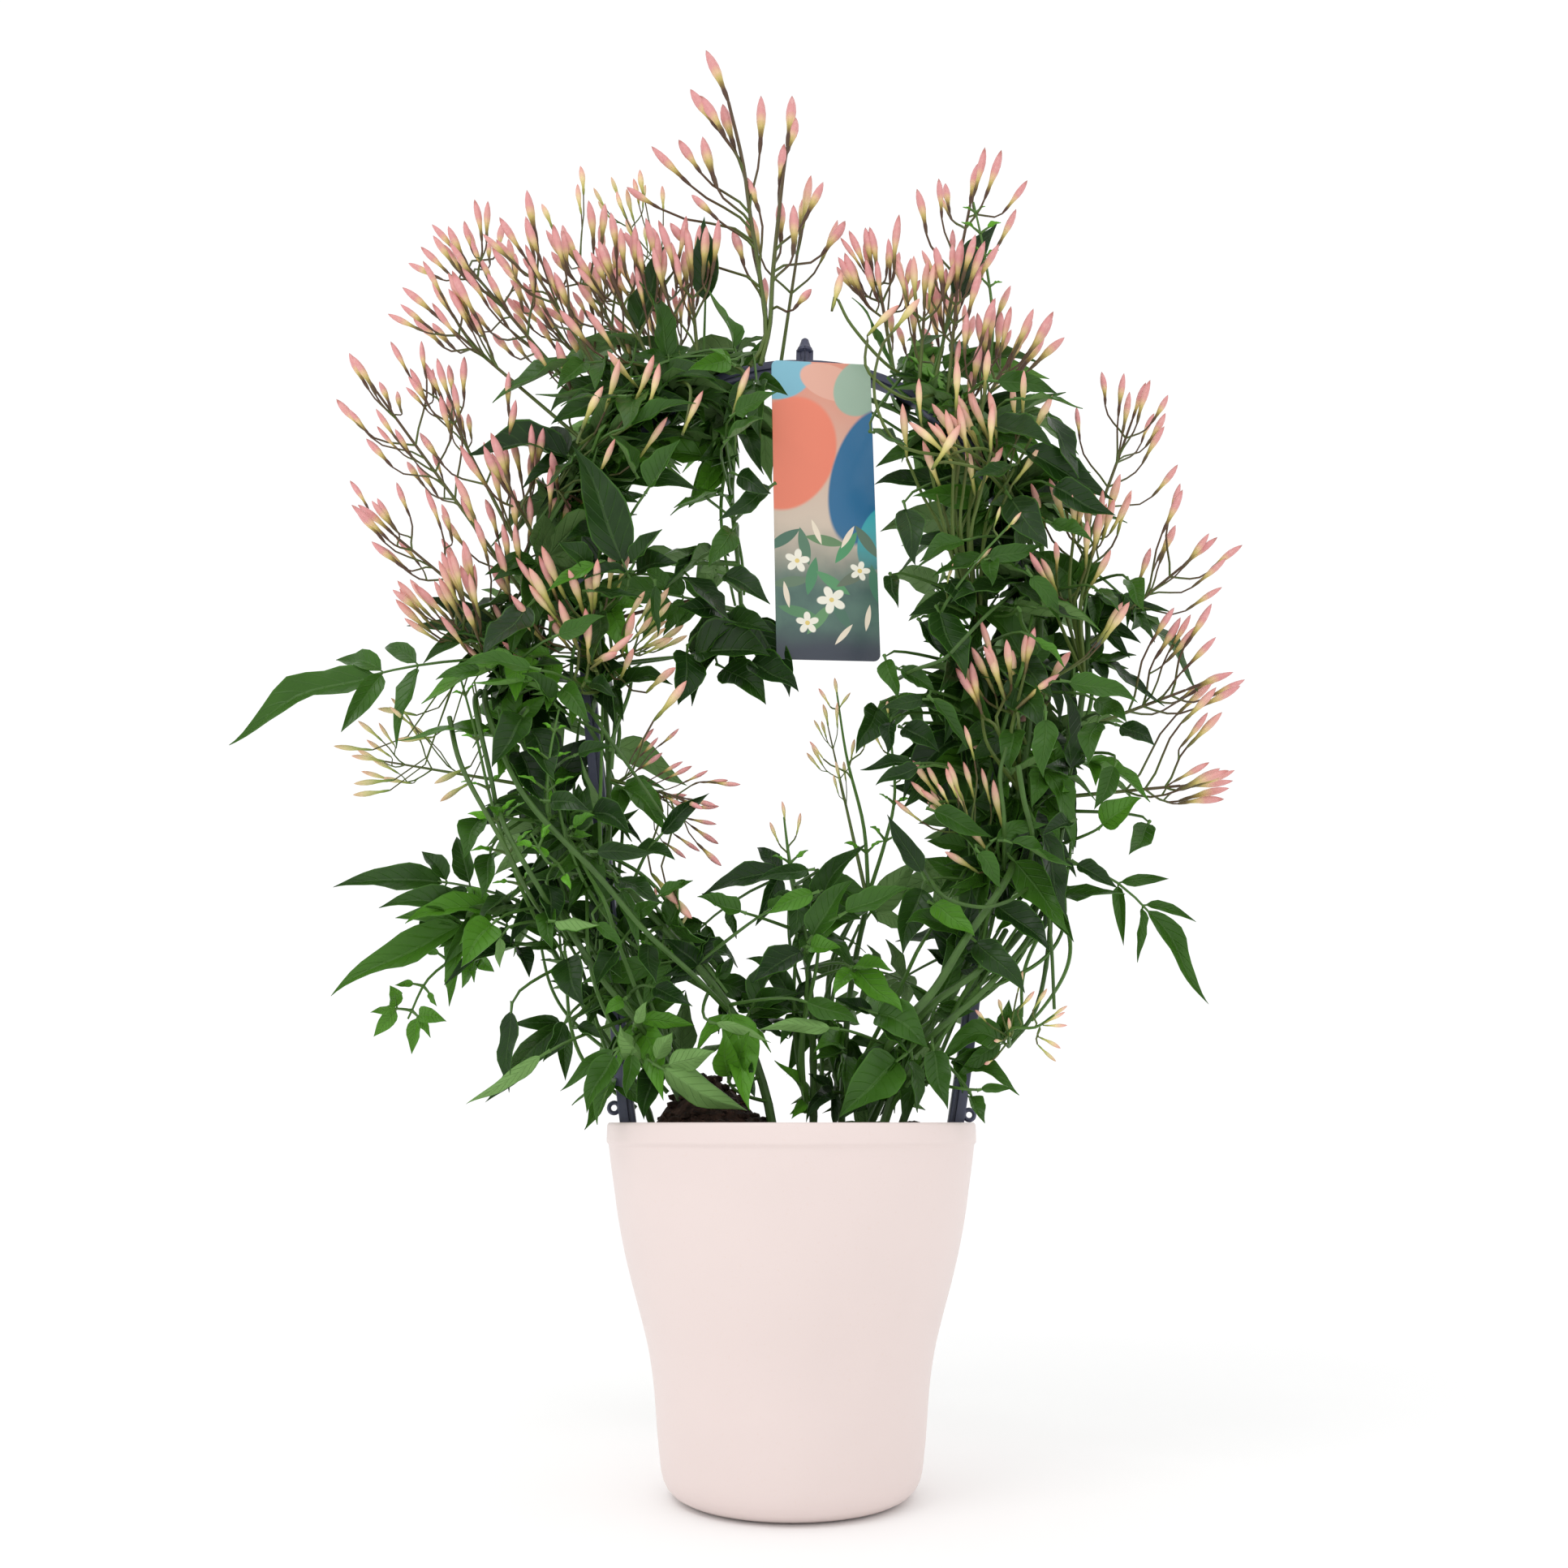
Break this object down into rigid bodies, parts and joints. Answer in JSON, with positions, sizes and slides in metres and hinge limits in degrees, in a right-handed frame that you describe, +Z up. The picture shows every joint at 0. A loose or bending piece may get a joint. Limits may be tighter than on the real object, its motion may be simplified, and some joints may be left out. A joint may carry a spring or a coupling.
{
  "type": "pink jasmine",
  "caption": "Pink jasmine in bud, trained round a plastic hoop that stands in a cream cover pot, with a hanging label and soil.",
  "frame": {"origin": "middle of the cover pot's flat foot, on the surface it stands on", "axes": "+Z up along the pot's axis, -Y the front that the label faces, X across the hoop"},
  "size_m": [0.4396, 0.15, 0.6453],
  "materials": {
    "pot": "smooth, satin-matt cream pink",
    "liner": "thin black pot plastic",
    "peat": "moist crumbly potting soil",
    "hoop": "slate grey moulded plastic",
    "card": "printed plastic card",
    "foliage": "slightly glossy leaves",
    "buds": "waxy pink buds on dark stalks"
  },
  "bodies": {
    "root": {"cover_pot": "pot", "nursery_pot": "liner", "soil": "peat", "hoop": "hoop", "label": "card", "stem_left_front": "foliage", "stem_left_low": "foliage", "stem_left_outer": "foliage", "stem_left_back": "foliage", "stem_left_inner": "foliage", "stem_left_mid": "foliage", "stem_left_top": "foliage", "stem_back_left": "foliage", "stem_crown": "foliage", "stem_right_front": "foliage", "stem_right_low": "foliage", "stem_right_back": "foliage", "stem_right_mid": "foliage", "stem_right_outer": "foliage", "stem_right_top": "foliage", "stem_back_right": "foliage", "stem_right_inner": "foliage", "stem_right_hanging": "foliage", "stem_centre": "foliage", "stem_centre_right": "foliage", "spray_top_tall": "buds", "spray_top_right": "buds", "spray_crown_low": "buds", "spray_left_top_a": "buds", "spray_left_top_b": "buds", "spray_left_top_c": "buds", "spray_left_top_d": "buds", "spray_left_top_e": "buds", "spray_left_top_f": "buds", "spray_left_top_g": "buds", "spray_left_top_h": "buds", "spray_left_top_i": "buds", "spray_left_far": "buds", "spray_left_far_inner": "buds", "spray_left_far_low": "buds", "spray_left_cluster_a": "buds", "spray_left_cluster_b": "buds", "spray_left_low": "buds", "spray_left_front": "buds", "spray_hole_left": "buds", "spray_right_top_tall": "buds", "spray_right_top_a": "buds", "spray_right_top_b": "buds", "spray_right_top_c": "buds", "spray_right_top_d": "buds", "spray_right_back": "buds", "spray_right_mid_front": "buds", "spray_right_outer_top": "buds", "spray_right_cluster": "buds", "spray_right_outer": "buds", "spray_right_low_a": "buds", "spray_right_low_b": "buds", "spray_right_front_a": "buds", "spray_right_front_b": "buds", "spray_right_inner_low": "buds"}
  },
  "joints": []
}
